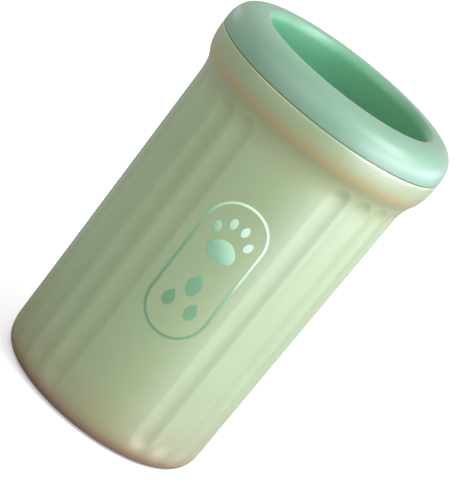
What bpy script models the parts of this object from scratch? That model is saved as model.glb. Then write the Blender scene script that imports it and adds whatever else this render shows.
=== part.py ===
"""Paw washer cup: a fluted double-walled cup, a screw-on mouth ring and a lift-out silicone brush insert.

The cup stands on +Z with its origin at the centre of its base. The smooth front panel faces -Y.
All sizes are in metres.
"""

import math

import bmesh
import bpy
from mathutils import Matrix

MM = 0.001
GAP = 0.3 * MM

# Driving dimensions
HEIGHT = 150 * MM
COLLAR_RADIUS = 46.75 * MM
SEAM_Z = 139 * MM
NECK_RADIUS = 42.7 * MM
NECK_Z = 117 * MM
BASE_RADIUS = 41.5 * MM
BASE_Z = 0.8 * MM
CORNER_WIDTH = 3 * MM
CORNER_HEIGHT = 7 * MM
CUP_WALL = 2 * MM
CUP_FLOOR = 2.8 * MM

# Flutes, evenly spaced round the cup, with the front ones left out for a smooth panel
FLUTE_COUNT = 26
FLUTE_PITCH = 2 * math.pi / FLUTE_COUNT
SMOOTH_FRONT = math.radians(22)
FLUTE_WIDTH = 8.3 * MM
FLUTE_DEPTH = 1 * MM
FLUTE_BULGE = 2.5 * MM
FLUTE_TOP_Z = 125.5 * MM

# Mouth ring and its skirt, which hangs inside the neck
SKIRT_RADIUS = 33.8 * MM
SKIRT_WALL = 1.6 * MM
SKIRT_BOTTOM_Z = 128.2 * MM
RIM_CREST_RADIUS = 35.9 * MM
RIM_FULLNESS = 2.6
RIM_INNER_Z = 146 * MM
RIM_ROOF = 2 * MM
TONGUE_HEIGHT = 1.6 * MM
TONGUE_WALL = 0.9 * MM

# Four-start thread between the skirt and the liner's neck
THREAD_STARTS = 4
THREAD_LEAD = 24 * MM
THREAD_WIDTH = 1.8 * MM
THREAD_Z = 131.5 * MM
THREAD_SINK = 0.5 * MM
LUG_ARC = math.radians(36)
RIB_ARC = math.radians(40)
LUG_RADIUS = 37.2 * MM
RIB_RADIUS = 35.9 * MM

# Inner liner, which holds the water and hangs by its flange on a ledge inside the collar
LINER_WALL = 1.4 * MM
LINER_FLOOR_Z = 4.6 * MM
LINER_BASE_RADIUS = 34.2 * MM
LINER_TOP_RADIUS = 34.6 * MM
LINER_CORNER = 5 * MM
LINER_STEP_Z = 126 * MM
NECK_BORE = 37.6 * MM
FLANGE_RADIUS = 44.2 * MM
FLANGE_Z = 137.2 * MM
LEDGE_RADIUS = 42.2 * MM
LEDGE_WALL = 1.4 * MM

# Foot ring, held in a groove under the base
FOOT_INNER = 29 * MM
FOOT_OUTER = 34.5 * MM
FOOT_HEIGHT = 2 * MM
FOOT_CHAMFER = 0.4 * MM

# Brush insert
CARRIER_RADIUS = 32.8 * MM
CARRIER_WALL = 2.2 * MM
CARRIER_BOTTOM_Z = LINER_FLOOR_Z + LINER_WALL + GAP
CARRIER_FLOOR = 1.8 * MM
CARRIER_CHAMFER = 2 * MM
CARRIER_TOP_Z = 106 * MM
TAB_TOP_Z = 116 * MM
TAB_ROOT = 2 * MM
TAB_ARC = math.radians(32)
DRAIN_SLOTS = 8
SLOT_LENGTH = 10 * MM
SLOT_WIDTH = 3 * MM
SLOT_CENTRE_RADIUS = 23.5 * MM
PANEL_COUNT = 8
PANEL_WIDTH = 21.5 * MM
PANEL_THICKNESS = 1.7 * MM
PANEL_LOW_Z = 14 * MM
PANEL_HIGH_Z = 100 * MM
WINDOW_WIDTH = 16.6 * MM
WINDOW_LOW_Z = 20 * MM
WINDOW_HIGH_Z = 94 * MM
BOSS_CLEARANCE = 1 * MM
FINGER_ROWS = 7
FINGER_LENGTH = 13 * MM
FINGER_BASE = 5 * MM
FINGER_TIP_SHARE = 0.55
FLOOR_BRUSH_RADIUS = 15.5 * MM
FLOOR_BRUSH_THICKNESS = 1.5 * MM
FLOOR_FINGER_RINGS = ((0, 1), (6 * MM, 6), (12 * MM, 12))
FLOOR_FINGER_HEIGHT = 8 * MM
FLOOR_FINGER_RADIUS = 1.8 * MM
FLOOR_FINGER_SINK = 0.5 * MM

# How finely round shapes are cut
SHELL_STEPS = 60
LINER_STEPS = 48
SMALL_RING_STEPS = 36
BAR_STEPS = 6
SHARP_ANGLE = math.radians(35)


# ---------------------------------------------------------------- scene and materials

def clear_scene():
    for obj in list(bpy.data.objects):
        bpy.data.objects.remove(obj, do_unlink=True)


def new_collection(name):
    collection = bpy.data.collections.new(name)
    bpy.context.scene.collection.children.link(collection)
    return collection


def plastic(name, colour, roughness):
    material = bpy.data.materials.new(name)
    material.use_nodes = True
    shader = material.node_tree.nodes["Principled BSDF"]
    shader.inputs["Base Color"].default_value = (*colour, 1)
    shader.inputs["Roughness"].default_value = roughness
    shader.inputs["Metallic"].default_value = 0
    return material


clear_scene()
PARTS = new_collection("paw_washer_cup")
HELPERS = new_collection("cutters")

SAGE = plastic("sage_shell", (0.56, 0.70, 0.50), 0.38)
MINT = plastic("mint_ring", (0.46, 0.74, 0.58), 0.30)
LINER = plastic("mint_liner", (0.36, 0.66, 0.48), 0.35)
CARRIER = plastic("carrier_plastic", (0.80, 0.88, 0.82), 0.40)
SILICONE = plastic("brush_silicone", (0.62, 0.82, 0.70), 0.55)
SEAL = plastic("seal_silicone", (0.85, 0.88, 0.85), 0.60)
FOOT = plastic("foot_silicone", (0.45, 0.42, 0.32), 0.70)


# ---------------------------------------------------------------- modelling helpers

def add_object(name, mesh, collection, material=None):
    obj = bpy.data.objects.new(name, mesh)
    collection.objects.link(obj)
    if material:
        mesh.materials.append(material)
    if collection is HELPERS:
        obj.hide_render = True
        obj.display_type = "WIRE"
    return obj


def mesh_from(bm, name):
    mesh = bpy.data.meshes.new(name)
    bm.to_mesh(mesh)
    bm.free()
    mesh.shade_smooth()
    mesh.set_sharp_from_angle(angle=SHARP_ANGLE)
    return mesh


def turned(name, profile, material, steps, closed=False, collection=None):
    """A profile of (radius, height) points turned about Z. It runs down its outer side."""
    count = len(profile)
    edges = [(i, i + 1) for i in range(count - 1)]
    if closed:
        edges.append((count - 1, 0))
    mesh = bpy.data.meshes.new(name)
    mesh.from_pydata([(r, 0, z) for r, z in profile], edges, [])
    obj = add_object(name, mesh, collection or PARTS, material)
    screw = obj.modifiers.new("turn", "SCREW")
    screw.axis = "Z"
    screw.angle = 2 * math.pi
    screw.steps = steps
    screw.render_steps = steps
    screw.use_merge_vertices = True
    screw.merge_threshold = 0.01 * MM
    screw.use_smooth_shade = True
    return obj


def arc(centre_r, centre_z, radius_r, radius_z, start, end, count):
    """Points on an ellipse from angle start to end, in degrees from +r towards +z."""
    points = []
    for i in range(count + 1):
        angle = math.radians(start + (end - start) * i / count)
        points.append((centre_r + radius_r * math.cos(angle), centre_z + radius_z * math.sin(angle)))
    return points


def ogee(start, end, count, pull=0.65):
    """A Bezier S-curve between two (radius, height) points, upright at both ends."""
    points = []
    for i in range(count + 1):
        t = i / count
        early = 3 * (1 - t) ** 2 * t
        late = 3 * (1 - t) * t**2
        across = late + t**3
        up = early * pull + late * (1 - pull) + t**3
        points.append((start[0] + (end[0] - start[0]) * across, start[1] + (end[1] - start[1]) * up))
    return points


def block(width, depth, height, cuts_x=(), cuts_z=()):
    """A box centred on X and Y, standing on Z = 0 and cut across at the given places."""
    bm = bmesh.new()
    place = Matrix.Translation((0, 0, height / 2)) @ Matrix.Diagonal((width, depth, height, 1))
    bmesh.ops.create_cube(bm, size=1, matrix=place)
    for normal, axis, cuts in (((1, 0, 0), 0, cuts_x), ((0, 0, 1), 2, cuts_z)):
        for cut in cuts:
            point = [0, 0, 0]
            point[axis] = cut
            geometry = bm.verts[:] + bm.edges[:] + bm.faces[:]
            bmesh.ops.bisect_plane(bm, geom=geometry, plane_co=point, plane_no=normal)
    return bm


def wrap(bm, radius, low_z, centre_angle, lead=0.0):
    """Bends a block round Z: its -X becomes arc length at radius, its Y the distance outwards.

    With a lead it also climbs as a thread does.
    """
    for vert in bm.verts:
        angle = -vert.co.x / radius
        turn = centre_angle + angle
        reach = radius + vert.co.y
        height = low_z + vert.co.z + lead * angle / (2 * math.pi)
        vert.co = (reach * math.cos(turn), reach * math.sin(turn), height)


def even_cuts(width, count):
    return [width * (i / count - 0.5) for i in range(1, count)]


def curved_bar(inner, outer, low_z, height, span, centre_angle, lead=0.0):
    """A bar that follows a circle round Z, as a bmesh."""
    radius = (inner + outer) / 2
    width = span * radius
    bm = block(width, outer - inner, height, even_cuts(width, BAR_STEPS))
    wrap(bm, radius, low_z, centre_angle, lead)
    return bm


def joined(name, pieces):
    """Several bmeshes as one helper object."""
    whole = bmesh.new()
    for bm in pieces:
        part = mesh_from(bm, name)
        whole.from_mesh(part)
        bpy.data.meshes.remove(part)
    return add_object(name, mesh_from(whole, name), HELPERS)


def boolean(obj, helper, operation):
    modifier = obj.modifiers.new(helper.name, "BOOLEAN")
    modifier.operation = operation
    modifier.object = helper


# ---------------------------------------------------------------- cup

def cup_radius(z):
    """Outer radius of the straight wall at a height."""
    low = BASE_Z + CORNER_HEIGHT
    return BASE_RADIUS + (NECK_RADIUS - BASE_RADIUS) * (z - low) / (NECK_Z - low)


def outer_cup():
    lip_z = SEAM_Z - GAP / 2
    inner_collar = COLLAR_RADIUS - CUP_WALL
    floor_z = BASE_Z + CUP_FLOOR
    corner_r = BASE_RADIUS - CORNER_WIDTH
    inner_width = CORNER_WIDTH - CUP_WALL
    inner_height = CORNER_HEIGHT - CUP_WALL
    ledge_top = FLANGE_Z - LINER_WALL - GAP
    ledge_low = ledge_top - LEDGE_WALL
    inner_neck = ogee((NECK_RADIUS - CUP_WALL, NECK_Z), (inner_collar, lip_z), 6)
    inside = [(0, floor_z)]
    inside += arc(corner_r, floor_z + inner_height, inner_width, inner_height, -90, 0, 4)
    inside += [point for point in inner_neck if point[1] < ledge_low - MM]
    inside += [
        (inner_collar, ledge_low),
        (LEDGE_RADIUS, ledge_low),
        (LEDGE_RADIUS, ledge_top),
        (inner_collar, ledge_top),
    ]
    tongue = [
        (inner_collar, lip_z + TONGUE_HEIGHT),
        (inner_collar + TONGUE_WALL, lip_z + TONGUE_HEIGHT),
        (inner_collar + TONGUE_WALL, lip_z),
    ]
    outside = ogee((NECK_RADIUS, NECK_Z), (COLLAR_RADIUS, lip_z), 8)[::-1]
    outside += arc(corner_r, BASE_Z + CORNER_HEIGHT, CORNER_WIDTH, CORNER_HEIGHT, 0, -90, 5)
    groove_top = FOOT_HEIGHT + GAP
    groove = [
        (FOOT_OUTER + GAP, BASE_Z),
        (FOOT_OUTER + GAP, groove_top),
        (FOOT_INNER - GAP, groove_top),
        (FOOT_INNER - GAP, BASE_Z),
    ]
    cup = turned("outer_cup", inside + tongue + outside + groove + [(0, BASE_Z)], SAGE, SHELL_STEPS)
    boolean(cup, flute_cutters(), "DIFFERENCE")
    return cup


def flute_cutters():
    """One long round-topped cutter for each flute, oval in section and leaning with the wall."""
    sunk_share = (FLUTE_BULGE - FLUTE_DEPTH) / FLUTE_BULGE
    half_span = FLUTE_WIDTH / 2 / math.sqrt(1 - sunk_share**2)
    lean = math.atan2(NECK_RADIUS - BASE_RADIUS, NECK_Z - BASE_Z - CORNER_HEIGHT)
    end_z = FLUTE_TOP_Z - FLUTE_WIDTH / 2
    flatten = Matrix.Diagonal((FLUTE_BULGE / half_span, 1, 1, 1))
    stand = Matrix.Translation((cup_radius(end_z) - FLUTE_DEPTH + FLUTE_BULGE, 0, end_z))
    cutters = []
    for i in range(FLUTE_COUNT):
        turn = i * FLUTE_PITCH
        if min(turn, 2 * math.pi - turn) < SMOOTH_FRONT:
            continue
        bm = round_topped_rod(half_span, end_z + CORNER_HEIGHT)
        place = Matrix.Rotation(turn - math.pi / 2, 4, "Z") @ stand @ Matrix.Rotation(lean, 4, "Y") @ flatten
        bmesh.ops.transform(bm, matrix=place, verts=bm.verts)
        cutters.append(bm)
    return joined("flute_cutters", cutters)


def round_topped_rod(radius, length, rings=5):
    """A rod that hangs down from Z = 0, with half a sphere on its top."""
    bm = bmesh.new()
    bmesh.ops.create_cone(
        bm, cap_ends=True, segments=24, radius1=radius, radius2=radius, depth=length,
        matrix=Matrix.Translation((0, 0, -length / 2)),
    )
    top = max(bm.faces, key=lambda face: face.calc_center_median().z)
    for i in range(rings - 1):
        before = math.radians(90 * i / rings)
        after = math.radians(90 * (i + 1) / rings)
        top = bmesh.ops.extrude_discrete_faces(bm, faces=[top])["faces"][0]
        bmesh.ops.translate(bm, vec=(0, 0, radius * (math.sin(after) - math.sin(before))), verts=top.verts)
        shrink = math.cos(after) / math.cos(before)
        bmesh.ops.scale(bm, vec=(shrink, shrink, 1), verts=top.verts)
    bmesh.ops.recalc_face_normals(bm, faces=bm.faces)
    return bm


def foot_ring():
    profile = [
        (FOOT_INNER, FOOT_HEIGHT),
        (FOOT_OUTER, FOOT_HEIGHT),
        (FOOT_OUTER, FOOT_CHAMFER),
        (FOOT_OUTER - FOOT_CHAMFER, 0),
        (FOOT_INNER + FOOT_CHAMFER, 0),
        (FOOT_INNER, FOOT_CHAMFER),
    ]
    return turned("foot_ring", profile, FOOT, SMALL_RING_STEPS, closed=True)


def inner_liner():
    floor_in = LINER_FLOOR_Z + LINER_WALL
    inner_corner = LINER_CORNER - LINER_WALL
    neck_out = NECK_BORE + LINER_WALL
    step_out = LINER_STEP_Z - LINER_WALL
    inside = [(0, floor_in)]
    inside += arc(
        LINER_BASE_RADIUS - inner_corner, floor_in + inner_corner, inner_corner, inner_corner, -90, 0, 3,
    )
    inside += [
        (LINER_TOP_RADIUS, LINER_STEP_Z),
        (NECK_BORE, LINER_STEP_Z),
        (NECK_BORE, FLANGE_Z),
        (FLANGE_RADIUS, FLANGE_Z),
    ]
    outside = [
        (FLANGE_RADIUS, FLANGE_Z - LINER_WALL),
        (neck_out, FLANGE_Z - LINER_WALL),
        (neck_out, step_out),
        (LINER_TOP_RADIUS + LINER_WALL, step_out),
    ]
    outer_base = LINER_BASE_RADIUS + LINER_WALL
    outside += arc(
        outer_base - LINER_CORNER, LINER_FLOOR_Z + LINER_CORNER, LINER_CORNER, LINER_CORNER, 0, -90, 4,
    )
    liner = turned("inner_liner", inside + outside + [(0, LINER_FLOOR_Z)], LINER, LINER_STEPS)
    boolean(liner, thread("thread_ribs", RIB_RADIUS, NECK_BORE + THREAD_SINK, rib_z(), RIB_ARC), "UNION")
    return liner


# ---------------------------------------------------------------- mouth ring

def rib_z():
    """The ribs lie one clearance above the lugs that hook under them."""
    return THREAD_Z + THREAD_WIDTH + GAP


def thread(name, inner, outer, low_z, span):
    starts = []
    for i in range(THREAD_STARTS):
        turn = 2 * math.pi * i / THREAD_STARTS
        starts.append(curved_bar(inner, outer, low_z, THREAD_WIDTH, span, turn, THREAD_LEAD))
    return joined(name, starts)


def rim_curve(count):
    """The rim's outer side, from its crest down to its edge: fuller than a plain ellipse."""
    points = []
    for i in range(count + 1):
        angle = math.pi / 2 * (1 - i / count)
        across = math.cos(angle) ** (2 / RIM_FULLNESS)
        up = math.sin(angle) ** (2 / RIM_FULLNESS)
        points.append((
            RIM_CREST_RADIUS + (COLLAR_RADIUS - RIM_CREST_RADIUS) * across,
            SEAM_Z + (HEIGHT - SEAM_Z) * up,
        ))
    return points


def mouth_ring():
    low_z = SEAM_Z + GAP / 2
    skirt_out = SKIRT_RADIUS + SKIRT_WALL
    inner_wall = COLLAR_RADIUS - CUP_WALL
    rabbet = inner_wall + TONGUE_WALL + GAP
    rabbet_z = SEAM_Z + TONGUE_HEIGHT + 2 * GAP
    profile = [(SKIRT_RADIUS, SKIRT_BOTTOM_Z)]
    profile += arc(
        RIM_CREST_RADIUS, RIM_INNER_Z, RIM_CREST_RADIUS - SKIRT_RADIUS, HEIGHT - RIM_INNER_Z, 180, 90, 4,
    )
    profile += rim_curve(8)[1:-1]
    profile += [(COLLAR_RADIUS, low_z), (rabbet, low_z), (rabbet, rabbet_z), (inner_wall, rabbet_z)]
    profile += arc(
        RIM_CREST_RADIUS, rabbet_z, inner_wall - RIM_CREST_RADIUS, HEIGHT - RIM_ROOF - rabbet_z, 0, 90, 4,
    )[1:]
    profile += [(skirt_out, HEIGHT - 2 * RIM_ROOF), (skirt_out, SKIRT_BOTTOM_Z)]
    ring = turned("mouth_ring", profile, MINT, SHELL_STEPS, closed=True)
    boolean(ring, thread("thread_lugs", skirt_out - THREAD_SINK, LUG_RADIUS, THREAD_Z, LUG_ARC), "UNION")
    return ring


def ring_gasket():
    low_z = LINER_STEP_Z + GAP
    high_z = SKIRT_BOTTOM_Z - GAP
    inner = SKIRT_RADIUS + GAP
    outer = RIB_RADIUS - GAP
    profile = [(inner, high_z), (outer, high_z), (outer, low_z), (inner, low_z)]
    return turned("ring_gasket", profile, SEAL, SMALL_RING_STEPS, closed=True)


# ---------------------------------------------------------------- brush insert

def brush_carrier():
    inner = CARRIER_RADIUS - CARRIER_WALL
    floor_in = CARRIER_BOTTOM_Z + CARRIER_FLOOR
    profile = [
        (0, floor_in),
        (inner, floor_in),
        (inner, CARRIER_TOP_Z),
        (CARRIER_RADIUS, CARRIER_TOP_Z),
        (CARRIER_RADIUS, CARRIER_BOTTOM_Z + CARRIER_CHAMFER),
        (CARRIER_RADIUS - CARRIER_CHAMFER, CARRIER_BOTTOM_Z),
        (0, CARRIER_BOTTOM_Z),
    ]
    carrier = turned("brush_carrier", profile, CARRIER, LINER_STEPS)
    boolean(carrier, carrier_tabs(), "UNION")
    boolean(carrier, carrier_openings(), "DIFFERENCE")
    return carrier


def carrier_tabs():
    """Two pull tabs that stand on the carrier's top edge."""
    inner = CARRIER_RADIUS - CARRIER_WALL + GAP
    outer = CARRIER_RADIUS - GAP
    height = TAB_TOP_Z - CARRIER_TOP_Z + TAB_ROOT
    tabs = []
    for turn in (0, math.pi):
        tabs.append(curved_bar(inner, outer, CARRIER_TOP_Z - TAB_ROOT, height, TAB_ARC, turn))
    return joined("pull_tabs", tabs)


def carrier_openings():
    """Windows for the brush panels, and drain slots in the floor."""
    openings = []
    window_height = WINDOW_HIGH_Z - WINDOW_LOW_Z
    for i in range(PANEL_COUNT):
        turn = 2 * math.pi * (i + 0.5) / PANEL_COUNT
        bm = block(WINDOW_WIDTH, 4 * CARRIER_WALL, window_height)
        place = (
            Matrix.Rotation(turn - math.pi / 2, 4, "Z")
            @ Matrix.Translation((0, CARRIER_RADIUS - CARRIER_WALL / 2, WINDOW_LOW_Z))
        )
        bmesh.ops.transform(bm, matrix=place, verts=bm.verts)
        openings.append(bm)
    for i in range(DRAIN_SLOTS):
        bm = block(SLOT_LENGTH, SLOT_WIDTH, 4 * CARRIER_FLOOR)
        place = (
            Matrix.Rotation(2 * math.pi * i / DRAIN_SLOTS, 4, "Z")
            @ Matrix.Translation((SLOT_CENTRE_RADIUS, 0, CARRIER_BOTTOM_Z - CARRIER_FLOOR))
        )
        bmesh.ops.transform(bm, matrix=place, verts=bm.verts)
        openings.append(bm)
    return joined("carrier_openings", openings)


def brush_panel(index):
    """A curved silicone panel: a plate with rows of tapered fingers, and a boss that fills its window."""
    height = PANEL_HIGH_Z - PANEL_LOW_Z
    radius = CARRIER_RADIUS - CARRIER_WALL - GAP - PANEL_THICKNESS / 2
    boss_half = WINDOW_WIDTH / 2 - BOSS_CLEARANCE
    boss_low = WINDOW_LOW_Z - PANEL_LOW_Z + GAP
    boss_high = WINDOW_HIGH_Z - PANEL_LOW_Z - GAP
    row_pitch = (boss_high - boss_low) / FINGER_ROWS
    rows = [boss_low + row_pitch * i for i in range(FINGER_ROWS + 1)]
    bm = block(PANEL_WIDTH, PANEL_THICKNESS, height, (-boss_half, 0, boss_half), rows)
    bm.normal_update()
    fronts, backs = [], []
    for face in bm.faces:
        centre = face.calc_center_median()
        if abs(centre.x) < boss_half and boss_low < centre.z < boss_high:
            if face.normal.y < -0.9:
                fronts.append(face)
            elif face.normal.y > 0.9:
                backs.append(face)
    raise_boss(bm, backs)
    raise_fingers(bm, fronts, boss_half, row_pitch)
    bmesh.ops.recalc_face_normals(bm, faces=bm.faces)
    turn = 2 * math.pi * (index + 0.5) / PANEL_COUNT
    wrap(bm, radius, PANEL_LOW_Z, turn)
    name = f"brush_panel_{index + 1}"
    return add_object(name, mesh_from(bm, name), PARTS, SILICONE)


def raise_boss(bm, faces):
    made = bmesh.ops.extrude_face_region(bm, geom=faces)
    verts = [item for item in made["geom"] if isinstance(item, bmesh.types.BMVert)]
    bmesh.ops.translate(bm, vec=(0, CARRIER_WALL, 0), verts=verts)
    bmesh.ops.delete(bm, geom=faces, context="FACES")


def raise_fingers(bm, faces, cell_width, cell_height):
    for face in bmesh.ops.extrude_discrete_faces(bm, faces=faces)["faces"]:
        reshape(bm, face, FINGER_BASE / cell_width, FINGER_BASE / cell_height, 0)
        tip = bmesh.ops.extrude_discrete_faces(bm, faces=[face])["faces"][0]
        reshape(bm, tip, FINGER_TIP_SHARE, FINGER_TIP_SHARE, FINGER_LENGTH)


def reshape(bm, face, share_x, share_z, advance):
    """Shrinks a face about its own centre and moves it towards -Y."""
    centre = face.calc_center_median()
    bmesh.ops.scale(
        bm, vec=(share_x, 1, share_z), verts=face.verts, space=Matrix.Translation(-centre),
    )
    bmesh.ops.translate(bm, vec=(0, -advance, 0), verts=face.verts)


def floor_brush():
    """A silicone disc with upright fingers, on the carrier's floor."""
    low_z = CARRIER_BOTTOM_Z + CARRIER_FLOOR + GAP
    top_z = low_z + FLOOR_BRUSH_THICKNESS
    profile = [(0, top_z), (FLOOR_BRUSH_RADIUS, top_z), (FLOOR_BRUSH_RADIUS, low_z), (0, low_z)]
    disc = turned("floor_brush", profile, SILICONE, SMALL_RING_STEPS // 2)
    fingers = []
    for radius, count in FLOOR_FINGER_RINGS:
        for i in range(count):
            turn = 2 * math.pi * i / count
            height = FLOOR_FINGER_HEIGHT + FLOOR_FINGER_SINK
            place = Matrix.Translation(
                (radius * math.cos(turn), radius * math.sin(turn), top_z - FLOOR_FINGER_SINK + height / 2)
            )
            bm = bmesh.new()
            bmesh.ops.create_cone(
                bm, cap_ends=True, segments=8, radius1=FLOOR_FINGER_RADIUS,
                radius2=FLOOR_FINGER_RADIUS * FINGER_TIP_SHARE, depth=height, matrix=place,
            )
            fingers.append(bm)
    boolean(disc, joined("floor_fingers", fingers), "UNION")
    return disc


# ---------------------------------------------------------------- assembly

outer_cup()
foot_ring()
inner_liner()
mouth_ring()
ring_gasket()
brush_carrier()
for panel in range(PANEL_COUNT):
    brush_panel(panel)
floor_brush()
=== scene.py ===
"""Paw washer cup: fine surfaces, materials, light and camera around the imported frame."""

import math

import bmesh
import bpy
from mathutils import Matrix, Vector


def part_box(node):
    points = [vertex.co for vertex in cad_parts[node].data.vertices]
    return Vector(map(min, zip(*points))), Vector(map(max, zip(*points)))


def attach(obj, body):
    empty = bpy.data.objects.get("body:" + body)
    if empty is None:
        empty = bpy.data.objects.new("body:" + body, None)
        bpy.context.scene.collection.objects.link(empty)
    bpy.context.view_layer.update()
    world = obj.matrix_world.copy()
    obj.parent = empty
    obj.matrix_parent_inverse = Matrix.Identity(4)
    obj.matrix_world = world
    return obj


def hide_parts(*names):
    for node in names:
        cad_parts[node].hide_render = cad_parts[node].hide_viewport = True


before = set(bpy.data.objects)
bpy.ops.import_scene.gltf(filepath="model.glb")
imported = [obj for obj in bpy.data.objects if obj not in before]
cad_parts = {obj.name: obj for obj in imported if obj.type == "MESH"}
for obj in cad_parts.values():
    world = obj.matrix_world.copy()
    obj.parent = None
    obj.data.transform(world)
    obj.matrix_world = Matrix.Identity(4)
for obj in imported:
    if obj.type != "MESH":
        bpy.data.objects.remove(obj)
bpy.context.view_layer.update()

MM = 0.001

# The gap between pieces that stand side by side
GAP = 0.3 * MM

# The outer cup, with the CAD's sizes
COLLAR_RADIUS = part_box("outer_cup")[1].x
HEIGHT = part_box("mouth_ring")[1].z
SEAM_Z = 139 * MM
SEAM_GAP = 0.3 * MM
NECK_RADIUS = 42.7 * MM
NECK_Z = 117 * MM
BASE_RADIUS = 41.5 * MM
BASE_Z = 0.8 * MM
CORNER_WIDTH = 3 * MM
CORNER_HEIGHT = 7 * MM
CUP_WALL = 2 * MM
CUP_FLOOR = 2.8 * MM
TONGUE_HEIGHT = 1.6 * MM
TONGUE_WALL = 0.9 * MM
FOOT_RING_WIDTH = 5.5 * MM
LEDGE_RADIUS = 42.2 * MM
LEDGE_TOP_Z = 135.5 * MM
LEDGE_WALL = 1.4 * MM
# The spacing of the wall's rows, which is fine below WALL_FINE_Z
WALL_STEP = 6 * MM
WALL_FINE_STEP = 1 * MM
WALL_FINE_Z = 20 * MM

# Flutes, a little softer than the CAD's, which fade out over the heights in FLUTE_FADE
FLUTE_COUNT = 26
FLUTE_PITCH = 2 * math.pi / FLUTE_COUNT
SMOOTH_FRONT = math.radians(22)
FLUTE_WIDTH = 8.6 * MM
FLUTE_DEPTH = 0.75 * MM
FLUTE_ROUNDNESS = 1.35
FLUTE_TOP_Z = 125.5 * MM
FLUTE_FADE = (3 * MM, 12 * MM)

# Mouth ring
SKIRT_RADIUS = 33.8 * MM
SKIRT_WALL = 1.6 * MM
SKIRT_BOTTOM_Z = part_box("mouth_ring")[0].z
SKIRT_ROWS_Z = (132 * MM, 137 * MM, 142 * MM)
SKIRT_EASE = 0.25 * MM
RIM_CREST_RADIUS = 35.9 * MM
# 2 is an ellipse, and more is fuller
RIM_FULLNESS = 2.6
RIM_INNER_Z = 146 * MM
RIM_ROOF = 2 * MM
THREAD_STARTS = 4
THREAD_LEAD = 24 * MM
THREAD_WIDTH = 1.8 * MM
THREAD_Z = 131.5 * MM
THREAD_SINK = 0.5 * MM
LUG_RADIUS = 37.2 * MM
LUG_ARC = math.radians(36)
RIB_RADIUS = 35.9 * MM
RIB_ARC = math.radians(40)

# Inner liner, gasket and foot ring
LINER_WALL = 1.4 * MM
LINER_FLOOR_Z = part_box("inner_liner")[0].z
LINER_BASE_RADIUS = 34.2 * MM
LINER_TOP_RADIUS = 34.6 * MM
LINER_CORNER = 5 * MM
LINER_STEP_Z = 126 * MM
NECK_BORE = 37.6 * MM
FLANGE_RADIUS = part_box("inner_liner")[1].x
FLANGE_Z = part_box("inner_liner")[1].z
LINER_EASE = 0.4 * MM
GASKET_EASE = 0.5 * MM
TREADS = 4
TREAD_GROOVE = 0.25 * MM

# Brush insert: the cage
CARRIER_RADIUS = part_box("brush_carrier")[1].x
CARRIER_WALL = 2.2 * MM
CARRIER_BOTTOM_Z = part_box("brush_carrier")[0].z
CARRIER_FLOOR = 1.8 * MM
CARRIER_TOP_Z = 106 * MM
CARRIER_CHAMFER = 2 * MM
CARRIER_BEVEL = 0.3 * MM
TAB_TOP_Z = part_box("brush_carrier")[1].z
TAB_ARC = math.radians(32)
TAB_ROOT = 2 * MM
TAB_INSET = 0.3 * MM
TAB_EASE = 0.7 * MM
SLOT_LENGTH = 10 * MM
SLOT_WIDTH = 3 * MM
SLOT_CENTRE_RADIUS = 23.5 * MM
SLOT_CORNER = 1.3 * MM
WINDOW_WIDTH = 16.6 * MM
WINDOW_LOW_Z = 20 * MM
WINDOW_HIGH_Z = 94 * MM
WINDOW_CORNER = 1.5 * MM

# Brush insert: the silicone
PANEL_COUNT = 8
PANEL_WIDTH = 21.5 * MM
PANEL_THICKNESS = 1.7 * MM
PANEL_LOW_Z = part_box("brush_panel_1")[0].z
PANEL_HIGH_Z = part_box("brush_panel_1")[1].z
PANEL_CORNER = 2.5 * MM
BOSS_WIDTH = WINDOW_WIDTH - 2 * MM
BOSS_CORNER = 1.2 * MM
# How far a boss or a finger sinks into its plate
SILICONE_SINK = 0.2 * MM
FINGER_ROWS = 7
FINGER_LENGTH = 13 * MM
FINGER_RADIUS = 2.4 * MM
SHORT_FINGER_LENGTH = 0.6 * FINGER_LENGTH
SHORT_FINGER_RADIUS = 0.5 * FINGER_RADIUS
FLOOR_BRUSH_THICKNESS = 1.5 * MM
FLOOR_BRUSH_EASE = 0.5 * MM
FLOOR_FINGER_HEIGHT = 8 * MM
FLOOR_FINGER_RADIUS = 1.8 * MM
FLOOR_FINGER_SINK = 0.1 * MM
# Each ring's radius and its count of fingers
FLOOR_FINGER_RINGS = ((0, 1), (6 * MM, 6), (12 * MM, 12))

# A finger's width and place along it, as shares of its root radius and its length
FINGER_ROOT = ((1.45, 0.0), (1.12, 0.035), (1.0, 0.1))
FINGER_MIDDLE = 0.55
FINGER_TIP_WIDTH = 0.55
FINGER_CAP = 0.1
FINGER_CAP_ANGLES = (0.5, 1.0, 1.35)
FINGER_SIDES = 14

# Emblem on the front panel: its places are (arc length to the right, height)
EMBLEM_LIFT = 0.08 * MM
EMBLEM_SINK = 0.3 * MM
EMBLEM_SHARP_ANGLE = 60
PILL_HALF_WIDTH = 12 * MM
PILL_LOW_Z = 47 * MM
PILL_HIGH_Z = 102.5 * MM
PILL_LINE = 0.9 * MM
HEEL_Z = 83.6 * MM
HEEL_SIZE = (10.5 * MM, 8.6 * MM)
TOE_SIZE = (2.7 * MM, 3.9 * MM)
# Across and up in mm, and the lean in radians
TOES = ((-6.4, 90.0, 0.35), (-2.4, 94.0, 0.12), (2.4, 94.0, -0.12), (6.4, 90.0, -0.35))
# Across, up, width and height, all in mm
DROPS = ((0, 68.5, 5.2, 8.4), (-4.6, 60.0, 4.2, 6.6), (4.6, 60.0, 4.2, 6.6))

# How fine and how soft the surfaces are, with angles in degrees
EDGE_EASE = 0.12 * MM
# The share of an edge that the ease of each of its corners may take
MOST_OF_AN_EDGE = 0.45
SHARP_ANGLE = 40
CAGE_SHARP_ANGLE = 50
SAME_PLACE = 0.5e-6
FLUTED_TURNS = 576
RIM_TURNS = 288
PLAIN_TURNS = 192
PAD_TURNS = 96
PLATE_COLUMNS = 12
BAR_STEPS = 28
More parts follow.
